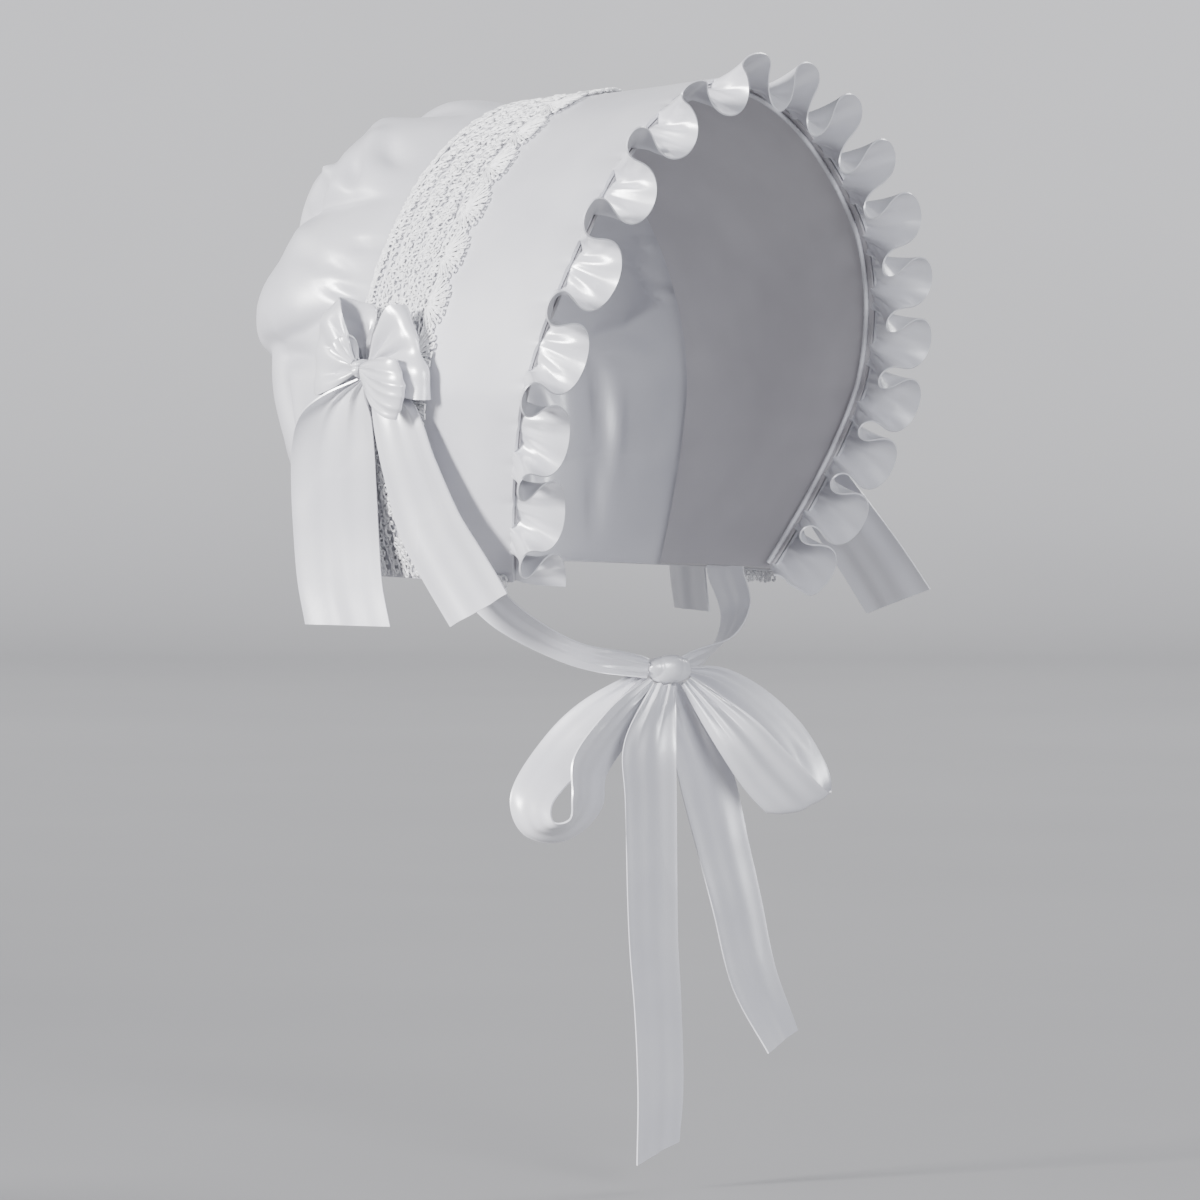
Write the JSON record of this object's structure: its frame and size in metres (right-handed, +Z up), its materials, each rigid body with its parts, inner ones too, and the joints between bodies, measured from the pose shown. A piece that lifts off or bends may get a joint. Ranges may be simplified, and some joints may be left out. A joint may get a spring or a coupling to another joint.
{
  "type": "poke bonnet",
  "caption": "Satin poke bonnet with a stiff open brim, ruffled front edge, soft gathered crown, lace over the seam, side bows, and ribbon ties bowed under the chin.",
  "frame": {"origin": "the point inside the top of the crown that rests on the top of the head", "axes": "+Z up, -Y the way the face looks out of the brim, +X the wearer's left"},
  "size_m": [0.2448, 0.2634, 0.4922],
  "materials": {
    "white_satin": "satin",
    "lining_satin": "satin",
    "white_lace": "matte"
  },
  "bodies": {
    "root": {"brim_shell": "white_satin", "brim_binding": "white_satin", "ruffle": "white_satin", "crown": "white_satin", "near_bow_loop_front": "white_satin", "near_bow_loop_back": "white_satin", "near_bow_lobe_front": "white_satin", "near_bow_lobe_back": "white_satin", "near_bow_knot": "white_satin", "near_bow_tail_front": "white_satin", "near_bow_tail_back": "white_satin", "far_bow_loop_front": "white_satin", "far_bow_loop_back": "white_satin", "far_bow_lobe_front": "white_satin", "far_bow_lobe_back": "white_satin", "far_bow_knot": "white_satin", "far_bow_tail_front": "white_satin", "far_bow_tail_back": "white_satin", "chin_strand_near": "white_satin", "chin_strand_far": "white_satin", "chin_knot": "white_satin", "chin_loop_near": "white_satin", "chin_loop_far": "white_satin", "chin_tail_near": "white_satin", "chin_tail_far": "white_satin", "brim_lining": "lining_satin", "lace_band": "white_lace", "lace_hem_near": "white_lace", "lace_hem_far": "white_lace"}
  },
  "joints": []
}
